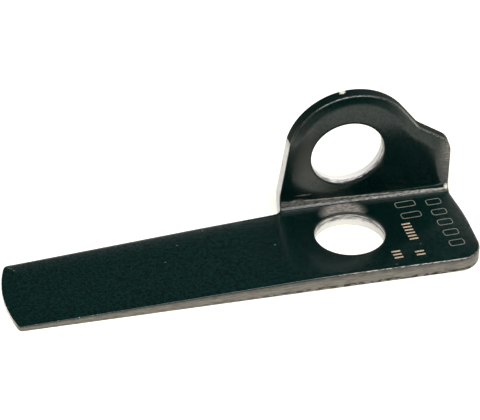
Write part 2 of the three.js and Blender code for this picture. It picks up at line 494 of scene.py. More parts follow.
class Edge:
    """One cut edge of the blank: its outline with the rounds and the roll at each point"""

    def __init__(self, loop, lip, under, draft, roll_width, roll_drop, roll_power):
        self.loop = loop
        self.normal = inward(loop)
        self.lip, self.under, self.draft, self.roll_width, self.roll_drop, self.roll_power = (
            smoothed(np.broadcast_to(v, len(loop)), EASE_POINTS)
            for v in (lip, under, draft, roll_width, roll_drop, roll_power))

    def rings(self, thickness):
        """Inset and height of each point in the rings down the edge"""
        found = []
        for turn in ROUND_SHARES * QUARTER_TURN:
            found.append((self.lip * (1 - math.sin(turn)),
                          thickness - self.lip * (1 - math.cos(turn))))
        top, bottom = thickness - self.lip, self.under
        for down in WALL_SHARES:
            found.append((self.draft * down, top + (bottom - top) * down))
        for turn in ROUND_SHARES * QUARTER_TURN:
            found.append((self.draft + self.under * (1 - math.cos(turn)),
                          self.under * (1 - math.sin(turn))))
        return found


def plate_edges(layout, edges):
    """Edges of the outline and of both eyes"""
    s = layout.s
    loop = spaced(layout.outline(), edges.rim_step)
    out = -inward(loop)
    x, y = loop.T
    tab = y > layout.foot - layout.fold_length / 2
    tip = ~tab & (out[:, 0] < -END_FACING)
    end = ~tab & (out[:, 0] > END_FACING)
    back = ~tab & ~tip & (out[:, 1] > 0)
    front = ~(tab | tip | end | back)
    thinning = np.clip((-s.taper_start - x) / (s.blade_reach - s.taper_start), 0, 1)
    scale = 1 + (edges.tip_scale - 1) * thinning
    left = tab & (out[:, 0] < -LEFT_FACING)
    right = tab & (out[:, 0] > RIGHT_FACING) & (x > layout.tab_end - s.shoulder_round)
    regions = [left, right, tab, tip, end, back, front]
    width = np.select(regions, [edges.left_roll, edges.right_roll, edges.tab_roll, edges.tip_roll,
                                edges.end_roll, edges.back_roll, edges.front_roll])
    drop = np.select(regions, [edges.left_roll_drop, edges.right_roll_drop, edges.tab_roll_drop,
                               edges.tip_roll_drop, edges.end_roll_drop, edges.back_roll_drop,
                               edges.front_roll_drop])
    under = np.where(tab, edges.tab_under, edges.under) * scale
    made = [Edge(loop, edges.lip * scale, under, np.where(tab, -edges.tab_draft, 0), width, drop,
                 np.where(tab, edges.roll_power, edges.soft_power))]
    for centre, (across, tall) in ((vec(0, s.lower_shift), s.lower_eye),
                                   (layout.upper_eye, s.upper_eye)):
        ring = [centre + vec(p.x * across, p.y * tall) / 2 for p in arc(vec(0, 0), 1, FULL_TURN, 0)]
        made.append(Edge(spaced(ring[1:], edges.rim_step), edges.eye_lip, edges.under, 0,
                         edges.eye_roll, edges.eye_roll_drop, edges.soft_power))
    return made


def inside(points, loops):
    """Which points lie on the plate: inside the outline and outside the eyes"""
    odd = np.zeros(len(points), bool)
    px, py = points.T
    for loop in loops:
        for (ax, ay), (bx, by) in zip(loop, np.roll(loop, -1, axis=0)):
            if ay != by:
                odd ^= ((ay > py) != (by > py)) & (px < (bx - ax) * (py - ay) / (by - ay) + ax)
    return odd


def face_points(plate, loops, edges):
    """Points spread over a face: rows that follow its rims, and an even spread between them"""
    tree = rim_tree([edge.loop for edge in plate])
    kept = []
    for inset in np.arange(1, edges.row_count + 1) * edges.row_step + edges.lip:
        for edge in plate:
            kept += [p for p in edge.loop + edge.normal * inset
                     if tree.find((*p, 0))[2] > inset * ROW_CLEAR_SHARE]
    step, clear = edges.face_step, inset + edges.face_step * SPREAD_CLEAR_SHARE
    low, high = loops[0].min(axis=0), loops[0].max(axis=0)
    for i, y in enumerate(np.arange(low[1], high[1], step * math.sqrt(3) / 2)):
        x = np.arange(low[0] + step / 2 * (i % 2), high[0], step)
        row = np.column_stack([x, np.full_like(x, y)])
        kept += [p for p in row[inside(row, loops)] if tree.find((*p, 0))[2] > clear]
    return np.array(kept)


def rim_tree(loops):
    """Search tree over the points of all rims"""
    points = np.concatenate(loops)
    tree = kdtree.KDTree(len(points))
    for i, p in enumerate(points):
        tree.insert((*p, 0), i)
    tree.balance()
    return tree


def face_triangles(loops, inner):
    """Triangles that join the rims of a face through its inner points"""
    points = [Vector(p) for loop in loops for p in loop] + [Vector(p) for p in inner]
    rims, base = [], 0
    for loop in loops:
        rims += [(base + i, base + (i + 1) % len(loop)) for i in range(len(loop))]
        base += len(loop)
    _, _, faces, origin, _, _ = geometry.delaunay_2d_cdt(points, rims, [], 0, 1e-9)
    triangles = np.array([[origin[v][0] for v in face] for face in faces])
    places = np.array(points)
    return triangles[inside(places[triangles].mean(axis=1), loops)]


def blank_mesh(layout, edges):
    """The flat blank as one closed mesh, with what the folding tree and the materials read"""
    s = layout.s
    plate = plate_edges(layout, edges)
    points, faces, cut = [], [], []
    distance, lip_gap, width, drop, power, along, eye, painted_sheen = ([] for _ in range(8))
    first_rings, last_rings = [], []
    painted, sheen_mask = rim_finish(layout, plate[0])
    for edge in plate:
        is_eye = edge is not plate[0]
        count = len(edge.loop)
        rings = edge.rings(s.thickness)
        step = np.arange(count) * edges.rim_step
        base = len(points)
        for inset, height in rings:
            place = edge.loop + edge.normal * inset[:, None]
            points += list(np.column_stack([place, height]))
            distance += list(inset)
            lip_gap += list(inset + s.thickness - height)
            width += list(edge.roll_width)
            drop += list(edge.roll_drop)
            power += list(edge.roll_power)
            along += list(step)
            # painted sheen: every eye wall, and the outline walls that rim_finish marks
            painted_sheen += [1.0] * count if is_eye else list(sheen_mask)
            eye += [float(is_eye)] * count
        for ring in range(len(rings) - 1):
            steel = ring >= len(ROUND_SHARES) - 1 and (is_eye or ring < len(rings) - 2)
            upper = base + ring * count
            for i in range(count):
                j = (i + 1) % count
                faces.append((upper + i, upper + count + i, upper + count + j, upper + j))
                cut.append(bool(steel and (is_eye or not painted[i])))
        first_rings.append(np.arange(base, base + count))
        last_rings.append(np.arange(base + (len(rings) - 1) * count, base + len(rings) * count))
    outlines = [edge.loop for edge in plate]
    tree = rim_tree(outlines)
    widths = np.concatenate([edge.roll_width for edge in plate])
    drops = np.concatenate([edge.roll_drop for edge in plate])
    powers = np.concatenate([edge.roll_power for edge in plate])
    for rings, height, flip in ((first_rings, s.thickness, False), (last_rings, 0.0, True)):
        places = np.array(points)
        loops = [places[ring][:, :2] for ring in rings]
        inner = face_points(plate, loops, edges)
        index = np.concatenate([*rings, np.arange(len(points), len(points) + len(inner))])
        for p in inner:
            _, nearest, gap = tree.find((*p, 0))
            points.append(np.array([*p, height]))
            distance.append(gap)
            lip_gap.append(gap + s.thickness - height)
            width.append(widths[nearest])
            drop.append(drops[nearest])
            power.append(powers[nearest])
            along.append(0.0)
            eye.append(0.0)
            painted_sheen.append(0.0)
        triangles = index[face_triangles(loops, inner)]
        places = np.array(points)[triangles][:, :, :2]
        side_a, side_b = places[:, 1] - places[:, 0], places[:, 2] - places[:, 0]
        up = side_a[:, 0] * side_b[:, 1] - side_a[:, 1] * side_b[:, 0] > 0
        triangles[up == flip] = triangles[up == flip][:, ::-1]
        faces += [tuple(int(v) for v in t) for t in triangles]
        cut += [False] * len(triangles)
    mesh = bpy.data.meshes.new("blank")
    mesh.from_pydata([tuple(map(float, p)) for p in points], [], faces)
    for name, values, kind, domain in (
            ("edge_distance", distance, "FLOAT", "POINT"), ("lip_gap", lip_gap, "FLOAT", "POINT"),
            ("roll_width", width, "FLOAT", "POINT"), ("roll_drop", drop, "FLOAT", "POINT"),
            ("roll_power", power, "FLOAT", "POINT"), ("eye_wall", eye, "FLOAT", "POINT"),
            ("painted_sheen_wall", painted_sheen, "FLOAT", "POINT"),
            ("cut_steel", cut, "BOOLEAN", "FACE")):
        mesh.attributes.new(name, kind, domain).data.foreach_set("value", values)
    paint_coordinates(mesh, along)
    mesh.update()
    return mesh


def rim_finish(layout, edge):
    """Which points of the outline keep lacquer on the cut edge, and where the cut edge gets a painted
    sheen
    """
    s = layout.s
    x, y = edge.loop.T
    side = ((x < -s.root_reach * BRIGHT_SIDE_SHARE) & (x > -s.root_reach - s.root_fillet)
            & (y > layout.bend_line) & (y < layout.crown.y + s.neck_lift))
    painted = (y > layout.foot) & ~side
    # painted sheen on the tab's left side and at the tip end
    sheen_mask = side | (x < s.tip_crown * TIP_END_SHARE - s.blade_reach)
    return painted, smoothed(sheen_mask.astype(float), EASE_POINTS)


def paint_coordinates(mesh, along):
    """UV map that runs along the cut edges and across the plate's thickness"""
    layer = mesh.uv_layers.new(name="edge_run")
    for face in mesh.polygons:
        runs = [along[v] for v in face.vertices]
        wraps = max(runs) - min(runs) > SEAM_GAP
        for corner, vertex in zip(face.loop_indices, face.vertices):
            run = along[vertex]
            if wraps and run < SEAM_GAP:
                run += max(along)
            layer.data[corner].uv = (run, mesh.vertices[vertex].co.z)


def fold_tree(lacquer, steel):
    """Geometry nodes that thin the blade, roll the edges and fold the tab up square"""
    number, metres = "NodeSocketFloat", "NodeSocketFloat"
    tree, given, result = new_tree(
        "Thin, roll and fold", "GeometryNodeTree",
        [("Blank", "NodeSocketGeometry", None), ("Plate", metres, 4 * MM),
         ("Bend line", metres, 11.1 * MM), ("Bend radius", metres, 1.9 * MM),
         ("Fold length", metres, 6.1 * MM), ("Taper start", metres, 12 * MM),
         ("Taper length", metres, 73 * MM), ("Taper depth", metres, 2.5 * MM),
         ("Taper power", number, 0.9), ("Taper ease", number, 0.04),
         ("Lower round", metres, 0.5 * MM), ("Upper round", metres, 0.5 * MM),
         ("Wave", metres, 0.02 * MM), ("Wave length", metres, 14 * MM),
         ("Eye place", "NodeSocketVector", None)],
        [("Plate", "NodeSocketGeometry", None)])

    def stored(name, kind="FLOAT"):
        return add_node(tree, "GeometryNodeInputNamedAttribute", {"Name": name},
                        data_type=kind).outputs["Attribute"]

    place = add_node(tree, "GeometryNodeInputPosition").outputs[0]
    split = add_node(tree, "ShaderNodeSeparateXYZ", {0: place}).outputs
    x, run, height = split["X"], split["Y"], split["Z"]

    past_root = calc(tree, "SUBTRACT", calc(tree, "MULTIPLY", x, -1.0), given["Taper start"])
    raw = calc(tree, "DIVIDE", past_root, given["Taper length"])
    reach = calc(tree, "SQRT", calc(tree, "ADD", calc(tree, "MULTIPLY", raw, raw),
                                    calc(tree, "POWER", given["Taper ease"], 2.0)))
    eased = calc(tree, "MULTIPLY", calc(tree, "ADD", raw, reach), 0.5)
    taper = calc(tree, "MULTIPLY", calc(tree, "POWER", eased, given["Taper power"]),
                 given["Taper depth"])

    near = calc(tree, "SUBTRACT", 1.0, calc(tree, "DIVIDE", stored("edge_distance"),
                                            stored("roll_width")), clamp=True)
    roll = calc(tree, "MULTIPLY", calc(tree, "POWER", near, stored("roll_power")),
                stored("roll_drop"))

    upper = calc(tree, "SUBTRACT", given["Plate"], given["Upper round"])
    side = remap(tree, height, given["Lower round"], upper)
    lowered = calc(tree, "MULTIPLY", calc(tree, "ADD", taper, roll), side)

    flat_place = add_node(tree, "ShaderNodeCombineXYZ", {"X": x, "Y": run}).outputs[0]
    ripple = add_node(tree, "ShaderNodeTexNoise", {
        "Vector": flat_place, "Scale": calc(tree, "DIVIDE", 1.0, given["Wave length"]),
        "Detail": 1.0}).outputs[0]
    wave = calc(tree, "MULTIPLY", calc(tree, "MULTIPLY", ripple, given["Wave"]),
                calc(tree, "SUBTRACT", 1.0, calc(tree, "MULTIPLY", side, 2.0)))
    level = calc(tree, "ADD", calc(tree, "SUBTRACT", height, lowered), wave)

    bend_top = calc(tree, "ADD", given["Plate"], given["Bend radius"])
    beyond = calc(tree, "SUBTRACT", run, given["Bend line"])
    turned = calc(tree, "DIVIDE", beyond, given["Fold length"], clamp=True)
    angle = calc(tree, "MULTIPLY", turned, QUARTER_TURN)
    radius = calc(tree, "SUBTRACT", bend_top, level)
    past_fold = calc(tree, "MAXIMUM", calc(tree, "SUBTRACT", beyond, given["Fold length"]), 0.0)
    across = calc(tree, "ADD", calc(tree, "MINIMUM", run, given["Bend line"]),
                  calc(tree, "MULTIPLY", radius, calc(tree, "SINE", angle)))
    rise = calc(tree, "ADD", past_fold, calc(tree, "SUBTRACT", bend_top, calc(
        tree, "MULTIPLY", radius, calc(tree, "COSINE", angle))))
    folded = add_node(tree, "ShaderNodeCombineXYZ", {"X": x, "Y": across, "Z": rise}).outputs[0]
    seated = add_node(tree, "ShaderNodeVectorMath", {0: folded, 1: given["Eye place"]},
                      operation="ADD").outputs[0]

    kept = add_node(tree, "GeometryNodeStoreNamedAttribute", {
        "Geometry": given["Blank"], "Name": "fold", "Value": turned}, data_type="FLOAT",
        domain="POINT").outputs[0]
    moved = add_node(tree, "GeometryNodeSetPosition", {"Geometry": kept, "Position": seated}).outputs[0]
    whole = add_node(tree, "GeometryNodeRealizeInstances", {"Geometry": moved}).outputs[0]
    painted = add_node(tree, "GeometryNodeSetMaterial", {"Geometry": whole, "Material": lacquer})
    bare = add_node(tree, "GeometryNodeSetMaterial", {
        "Geometry": painted.outputs[0], "Material": steel,
        "Selection": stored("cut_steel", "BOOLEAN")})
    linked(tree, result["Plate"], bare.outputs[0])
    return tree


def face_outwards(mesh):
    """Turns the faces of closed shells outwards"""
    work = bmesh.new()
    work.from_mesh(mesh)
    bmesh.ops.recalc_face_normals(work, faces=work.faces)
    work.to_mesh(mesh)
    work.free()


def row_tree(name, etched, hollow):
    """Geometry nodes that lay a row of bars, each a closed loop of line or a solid tick"""
    metres = "NodeSocketFloat"
    tree, given, result = new_tree(
        name, "GeometryNodeTree",
        [("Start", "NodeSocketVector", None), ("Step", "NodeSocketVector", None),
         ("Count", "NodeSocketInt", 3), ("Length", metres, 3 * MM), ("Width", metres, 1 * MM),
         ("Line", metres, 0.2 * MM), ("Rise", metres, 0.02 * MM), ("Turn", metres, 0.0)],
        [("Row", "NodeSocketGeometry", None)])
    thick = calc(tree, "MULTIPLY", given["Rise"], 2.0)
    if hollow:
        frame_curve = add_node(tree, "GeometryNodeCurvePrimitiveQuadrilateral", {
            "Width": given["Length"], "Height": given["Width"]}, mode="RECTANGLE").outputs[0]
        path = add_node(tree, "GeometryNodeFilletCurve", {
            "Curve": frame_curve, "Radius": calc(tree, "MULTIPLY", given["Width"], 0.3),
            "Count": 4}, mode="POLY").outputs[0]
        across = given["Line"]
    else:
        half = calc(tree, "MULTIPLY", given["Length"], 0.5)
        ends = [add_node(tree, "ShaderNodeCombineXYZ", {"X": calc(
            tree, "MULTIPLY", half, sign)}).outputs[0] for sign in (-1.0, 1.0)]
        path = add_node(tree, "GeometryNodeCurvePrimitiveLine", {
            "Start": ends[0], "End": ends[1]}).outputs[0]
        across = given["Width"]
    section = add_node(tree, "GeometryNodeCurvePrimitiveQuadrilateral", {
        "Width": across, "Height": thick}, mode="RECTANGLE").outputs[0]
    bar = add_node(tree, "GeometryNodeCurveToMesh", {
        "Curve": path, "Profile Curve": section, "Fill Caps": not hollow}).outputs[0]
    line = add_node(tree, "GeometryNodeMeshLine", {
        "Count": given["Count"], "Start Location": given["Start"], "Offset": given["Step"]})
    turn = add_node(tree, "ShaderNodeCombineXYZ", {"Z": given["Turn"]}).outputs[0]
    row = add_node(tree, "GeometryNodeInstanceOnPoints", {
        "Points": line.outputs[0], "Instance": bar, "Rotation": turn}).outputs[0]
    whole = add_node(tree, "GeometryNodeRealizeInstances", {"Geometry": row}).outputs[0]
    painted = add_node(tree, "GeometryNodeSetMaterial", {"Geometry": whole, "Material": etched})
    linked(tree, result["Row"], painted.outputs[0])
    return tree


# Materials

def shared_groups():
    """Node groups that more than one finish uses, each built once"""
    built = {"wear": wear_group, "grain": grain_group, "specks": speck_group}
    names = {"wear": "Edge wear", "grain": "Surface grain", "specks": "Specks"}
    return {key: bpy.data.node_groups.get(names[key]) or make() for key, make in built.items()}


def wear_group():
    """Mask of worn places: strongest at an edge, and broken up by noise"""
    tree, given, result = new_tree(
        "Edge wear", "ShaderNodeTree",
        [("Vector", "NodeSocketVector", None), ("Distance", "NodeSocketFloat", 0.0),
         ("Width", "NodeSocketFloat", 0.3 * MM), ("Patch scale", "NodeSocketFloat", 900.0),
         ("Amount", "NodeSocketFloat", 0.5)],
        [("Mask", "NodeSocketFloat", None)])
    close = calc(tree, "SUBTRACT", 1.0, calc(tree, "DIVIDE", given["Distance"], given["Width"]),
                 clamp=True)
    patches = add_node(tree, "ShaderNodeTexNoise", {
        "Vector": given["Vector"], "Scale": given["Patch scale"], "Detail": 4.0,
        "Roughness": 0.6}).outputs[0]
    level = calc(tree, "MULTIPLY", close, given["Amount"])
    worn = calc(tree, "ADD", patches, calc(tree, "SUBTRACT", level, 1.0))
    linked(tree, result["Mask"], remap(tree, worn, 0.0, 0.12))
    return tree


def grain_group():
    """Fine height of a surface: a coarse and a fine noise, added"""
    tree, given, result = new_tree(
        "Surface grain", "ShaderNodeTree",
        [("Vector", "NodeSocketVector", None), ("Coarse scale", "NodeSocketFloat", 400.0),
         ("Fine scale", "NodeSocketFloat", 2500.0), ("Fine share", "NodeSocketFloat", 0.5)],
        [("Height", "NodeSocketFloat", None), ("Mottle", "NodeSocketFloat", None)])
    coarse = add_node(tree, "ShaderNodeTexNoise", {
        "Vector": given["Vector"], "Scale": given["Coarse scale"], "Detail": 3.0}).outputs[0]
    fine = add_node(tree, "ShaderNodeTexNoise", {
        "Vector": given["Vector"], "Scale": given["Fine scale"], "Detail": 2.0}).outputs[0]
    linked(tree, result["Height"],
           calc(tree, "ADD", coarse, calc(tree, "MULTIPLY", fine, given["Fine share"])))
    linked(tree, result["Mottle"], calc(tree, "ADD", calc(tree, "MULTIPLY", coarse, 0.5),
                                        calc(tree, "MULTIPLY", fine, 0.5)))
    return tree


def speck_group():
    """Mask of small bright specks scattered over a surface"""
    tree, given, result = new_tree(
        "Specks", "ShaderNodeTree",
        [("Vector", "NodeSocketVector", None), ("Scale", "NodeSocketFloat", 160.0),
         ("Size", "NodeSocketFloat", 0.06), ("Share", "NodeSocketFloat", 0.05)],
        [("Mask", "NodeSocketFloat", None)])
    cells = add_node(tree, "ShaderNodeTexVoronoi", {
        "Vector": given["Vector"], "Scale": given["Scale"]})
    chosen = add_node(tree, "ShaderNodeSeparateColor", {0: cells.outputs["Color"]}).outputs[0]
    picked = calc(tree, "LESS_THAN", chosen, given["Share"])
    near = remap(tree, cells.outputs["Distance"], given["Size"],
                 calc(tree, "MULTIPLY", given["Size"], 0.4))
    linked(tree, result["Mask"], calc(tree, "MULTIPLY", picked, near))
    return tree


def group_node(tree, group, inputs):
    made = tree.nodes.new("ShaderNodeGroup")
    made.node_tree = group
    for key, value in inputs.items():
        linked(tree, made.inputs[key], value)
    return made.outputs


def mixed(tree, factor, a, b):
    """Colour between two colours"""
    made = add_node(tree, "ShaderNodeMix", data_type="RGBA")
    for index, value in ((0, factor), (6, a), (7, b)):
        linked(tree, made.inputs[index], value)
    return made.outputs[2]


def opaque(rgb):
    return (*rgb, 1.0)


def shaded(rgb, strength):
    return (*(c * strength for c in rgb), 1.0)


def new_material(name):
    """Material with an empty tree and a Principled shader joined to its output"""
    material = bpy.data.materials.new(name)
    material.use_nodes = True
    tree = material.node_tree
    tree.nodes.clear()
    shader = add_node(tree, "ShaderNodeBsdfPrincipled")
    output = add_node(tree, "ShaderNodeOutputMaterial")
    tree.links.new(shader.outputs[0], output.inputs["Surface"])
    return material, tree, shader


def add_bump(tree, shader, height, strength, depth):
    """Joins a bump to the normal of a shader"""
    bump = add_node(tree, "ShaderNodeBump", {
        "Height": height, "Strength": strength, "Distance": depth})
    linked(tree, shader.inputs["Normal"], bump.outputs[0])


def attribute(tree, name):
    return add_node(tree, "ShaderNodeAttribute", attribute_name=name).outputs["Fac"]


def plate_place(tree, layout):
    """Object coordinates, centred on the lower eye"""
    place = add_node(tree, "ShaderNodeTexCoord").outputs["Object"]
    shift = tuple(-v for v in layout.eye_place)
    return add_node(tree, "ShaderNodeMapping", {"Vector": place, "Location": shift}).outputs[0]


# Soft patches of the plate: middle and reach along X, Y and Z in millimetres, and strength. The
# middles are measured from the lower eye's centre on the underside.
PATCHES = {
    "crown chip": ((1, 16.2, 34.7), (2.2, 1.8, 1.8), 1.1),
    # painted glint: a pale spot at the fold's right end
    "painted glint at the fold's corner": ((28.2, 12.7, 4.9), (0.9, 0.9, 0.9), 1.4),
    # painted light: a pale patch on the head behind the lower eye
    "painted light behind the eye": ((0.5, 8.8, 4), (6.8, 4.6, 3), 2.1),
    # painted reflections: pale haze on the tab's right, on the head's end and on the tab's left stands
    # in for the floor reflected at those edges
    "painted reflection on the tab's right": ((29.8, 13, 15), (5, 3, 12), 0.8),
    "painted reflection on the head's end": ((31, 0, 4), (8, 17, 2), 0.08),
    "painted reflection on the tab's left": ((-7.6, 13, 18), (6, 3, 12), 0.17),
    "tool mark": ((-8.4, 13, 7.4), (2.8, 2, 0.35), 0.5),
    # painted shade: darkens the lacquer on the head in front of the tab
    "painted shade in front of the tab": ((1, 3, 4), (30, 24, 9), 1.1),
    "dull foot of the tab": ((5, 13, 8.5), (12, 4, 5), 1.3),
    "lacquer run into the eye": ((6.5, 14, 11.5), (8, 8, 7), 1.3),
}

# Soft ranges: where each starts and ends, and the values there where these aren't 0 and 1
RAMPS = {
    "top of the fold": (0.9, 0.85),
    "end of the fold": (1.0, 0.97),
    "foot of the fold": (0.35, 0.41),
    "foot of the ridge": (0.75, 0.81),
    "burnish width": (0.34 * MM, 0.12 * MM),
    "burnish breaks": (0.42, 0.56, 0.15, 1.1),
    "burnish past the notch": (-14 * MM, 0),
    "burnish up the tab": (5 * MM, 12 * MM, 0.95, 0.45),
    "burnish on the slope": (15 * MM, 19 * MM, 0.0, 0.9),
    "streaks on the fold": (0.38, 0.62, 0.3, 1.3),
    "streaks in scuffs": (0.35, 0.65, 0.45, 1.3),
    "painted light short of the fold": (0.3, 0.2),
    "haze off the lip": (0.25 * MM, 0.5 * MM),
    "rim off the lip": (0.35 * MM, 0.55 * MM),
    "rim from outside": (0.12 * MM, 0.03 * MM),
    "thin places": (0.43, 0.57),
    # painted shade: the tab's face is made darker than the head
    "painted shade up the tab": (5 * MM, 8 * MM, 1.0, 0.45),
    "start of the roll": (0.3 * MM, 0.55 * MM),
    "end of the roll": (2.5 * MM, 1.8 * MM),
    "deep roll": (0.32 * MM, 0.75 * MM),
    "roll towards the neck": (12 * MM, 17 * MM, 1.0, 0.15),
    "uneven gloss": (0.4, 0.6, 0.6, 1.0),
    "gloss up the tab": (5 * MM, 8 * MM, 1.0, 0.8),
    "lacquer roughness": (0.35, 0.65, 0.16, 0.22),
    "steel streaks": (0.35, 0.65, 0.65, 1.2),
    "steel towards the lip": (2.5 * MM, 3.8 * MM, 1.05, 0.5),
    # painted sheen of the outer walls, streaked
    "fresh streaks": (0.3, 0.42),
    "shorn streaks": (0.4, 0.62),
    # painted sheen: eye walls turn near-white toward the underside
    "painted sheen toward the underside": (2.3 * MM, 1.7 * MM),
    "dull lower eye": (5 * MM, 8 * MM, 0.22, 0.0),
    "dashes": (0.48, 0.52),
    "height of the dashes": (1.15 * MM, 0.95 * MM),
    "dashes along the blade": (-45 * MM, 0, 0.25, 1.0),
    # less metal where the sheen is painted
    "metal of fresh steel": (0.0, 1.0, 0.75, 0.15),
    "steel roughness": (0.3, 0.7, 0.4, 0.6),
}

# Wear: its width, the scale of its patches, and how much of the width it takes
WEAR = {
    "lip": (0.45 * MM, 2400.0, 0.52),
    "fold": (0.9, 4200.0, 0.5),
    "crown chip": (0.9, 2200.0, 0.75),
}

UPPER_SLANT = 12.8
LOWER_SLANT = 7.5
FOLD_WEAR_SHARE = 0.35
# haze on the fold: partly rubbed lacquer, partly a painted highlight along the ridge
PRESSED_HAZE = 0.26
RIDGE_HAZE = 0.95
# strongest painted light behind the lower eye
LARGEST_PAINTED_LIGHT = 0.8
# strength of the painted shade in front of the tab
PAINTED_SHADE_SHARE = 0.75
DULL_FOOT_SHARE = 0.85
DULL_ROLL_SHARE = 0.95
DULL_FOLD_SHARE = 0.6
DULL_SCUFF_AND_SHEEN_SHARE = 0.8
DULL_CHIP_AND_GLINT_SHARE = 0.9
SCUFF_AND_SHEEN_ROUGHNESS = 0.2
RIM_ROUGHNESS = 0.4
WORN_DEPTH = 0.6
DARK_DASH_ROUGHNESS = 0.4
UNEVEN_BANDS = 1.6 * MM
RUN_TOP = 3.62 * MM
LEAST_RUN = 0.5 * MM


def ramp(tree, value, name):
    """Value brought into one of the named ranges"""
    return remap(tree, value, *RAMPS[name])


def patch(tree, place, name):
    """Soft round patch of a surface, strongest in its middle"""
    middle, reach, strength = PATCHES[name]
    off = add_node(tree, "ShaderNodeVectorMath", {0: place, 1: [v * MM for v in middle]},
                   operation="SUBTRACT").outputs[0]
    scaled = add_node(tree, "ShaderNodeVectorMath", {0: off, 1: [v * MM for v in reach]},
                      operation="DIVIDE").outputs[0]
    far = add_node(tree, "ShaderNodeVectorMath", {0: scaled}, operation="LENGTH")
    return remap(tree, far.outputs["Value"], 1.0, 0.0, 0.0, strength, "SMOOTHSTEP")


class LacquerMasks:
    """Masks of the lacquer, from the place on the plate and from what the mesh stores"""

    def __init__(self, tree, groups, layout):
        self.tree, self.groups, self.place = tree, groups, plate_place(tree, layout)
        parts = add_node(tree, "ShaderNodeSeparateXYZ", {0: self.place}).outputs
        self.across, self.up = parts["X"], parts["Z"]
        self.gap, self.inset = attribute(tree, "lip_gap"), attribute(tree, "edge_distance")
        self.grain = group_node(tree, groups["grain"], {
            "Vector": self.place, "Coarse scale": 1400.0, "Fine scale": 4500.0,
            "Fine share": 0.4})
        self.drawn_out = add_node(tree, "ShaderNodeMapping", {
            "Vector": self.place, "Scale": (0.3, 1.0, 1.0)}).outputs[0]
        self.streaks = add_node(tree, "ShaderNodeTexNoise", {
            "Vector": self.drawn_out, "Scale": 3200.0, "Detail": 3.0}).outputs[0]
        self.fold = attribute(tree, "fold")
        upper_line = calc(tree, "MULTIPLY_ADD", self.across, UPPER_SLANT, self.fold)
        lower_line = calc(tree, "MULTIPLY_ADD", self.across, LOWER_SLANT, self.fold)
        below_top = product(tree, ramp(tree, upper_line, "top of the fold"),
                            ramp(tree, self.fold, "end of the fold"))
        self.pressed = product(tree, ramp(tree, lower_line, "foot of the fold"), below_top)
        self.ridge = product(tree, ramp(tree, upper_line, "foot of the ridge"), below_top)

    def patch(self, name):
        return patch(self.tree, self.place, name)

    def wear(self, place, distance, name):
        width, scale, amount = WEAR[name]
        return group_node(self.tree, self.groups["wear"], {
            "Vector": place, "Distance": distance, "Width": width, "Patch scale": scale,
            "Amount": amount})["Mask"]

    def edge_wear(self):
        """Steel that shows along the lip, as small chips and as a broken burnished line"""
        tree = self.tree
        chips = self.wear(self.place, self.gap, "lip")
        head_or_crown = ramp(tree, self.up, "burnish up the tab")
        slope = ramp(tree, self.across, "burnish on the slope")
        burnish = product(
            tree, ramp(tree, self.gap, "burnish width"),
            ramp(tree, self.streaks, "burnish breaks"),
            ramp(tree, self.across, "burnish past the notch"),
            largest(tree, head_or_crown, slope))
        past_eyes = rest_of(tree, attribute(tree, "eye_wall"))
        return product(tree, largest(tree, chips, burnish), past_eyes)

    def fold_wear(self):
        """Steel that shows faintly where the fold was pressed"""
        rubbed = self.wear(self.drawn_out, rest_of(self.tree, self.pressed), "fold")
        return product(self.tree, rubbed, FOLD_WEAR_SHARE)

    def chip_and_glint_masks(self):
        """The chip on the crown, and a painted glint at the fold's right end"""
        off_crown = rest_of(self.tree, self.patch("crown chip"))
        crown = self.wear(self.place, off_crown, "crown chip")
        return calc(self.tree, "MAXIMUM", crown, self.patch("painted glint at the fold's corner"), clamp=True)

    def haze(self):
        """Pale haze on the lacquer: scuff marks on the fold and the tool mark, a painted highlight
        along the fold, painted light behind the lower eye and painted reflections on the plate's sides
        """
        tree = self.tree
        # on the fold the pale haze is partly rubbed lacquer and partly a painted highlight along the
        # ridge
        fold = product(
            tree, largest(tree, product(tree, self.pressed, PRESSED_HAZE),
                          product(tree, self.ridge, RIDGE_HAZE)),
            ramp(tree, self.streaks, "streaks on the fold"))
        # painted light on the head behind the lower eye, kept off the fold
        behind_eye = product(tree, self.patch("painted light behind the eye"),
                             ramp(tree, self.fold, "painted light short of the fold"))
        # painted light behind the eye and painted reflections at the sides, with the real tool mark
        sheen_and_tool_mark = largest(
            tree, calc(tree, "MINIMUM", behind_eye, LARGEST_PAINTED_LIGHT),
            self.patch("painted reflection on the tab's right"), self.patch("painted reflection on the head's end"),
            self.patch("tool mark"))
        streaked = product(tree, sheen_and_tool_mark, ramp(tree, self.streaks, "streaks in scuffs"))
        # with the painted reflection on the tab's left
        every_scuff_and_sheen = largest(tree, fold, streaked, self.patch("painted reflection on the tab's left"))
        return calc(tree, "MULTIPLY", every_scuff_and_sheen, ramp(tree, self.gap, "haze off the lip"),
                    clamp=True)

    def rim(self):
        """Lacquer on the upright edge, under the lip"""
        return product(self.tree, ramp(self.tree, self.gap, "rim off the lip"),
                       ramp(self.tree, self.inset, "rim from outside"))

    def paint(self, finish):
        """Colour of sound lacquer, with its thin places and its dust, and painted shade on the tab and
        on the head in front of it
        """
        tree = self.tree
        # painted shade: in front of the tab and up the tab the paler thin places are held back, which
        # darkens the lacquer
        thick = calc(tree, "MINIMUM", self.patch("painted shade in front of the tab"), PAINTED_SHADE_SHARE)
        thin = product(tree, ramp(tree, self.grain["Mottle"], "thin places"),
                       ramp(tree, self.up, "painted shade up the tab"), rest_of(tree, thick))
        specks = group_node(tree, self.groups["specks"], {
            "Vector": self.place, "Scale": 260.0, "Size": 0.07, "Share": 0.3})["Mask"]
        plain = mixed(tree, thin, opaque(finish.lacquer), opaque(finish.lacquer_thin))
        return mixed(tree, specks, plain, opaque(finish.dust))

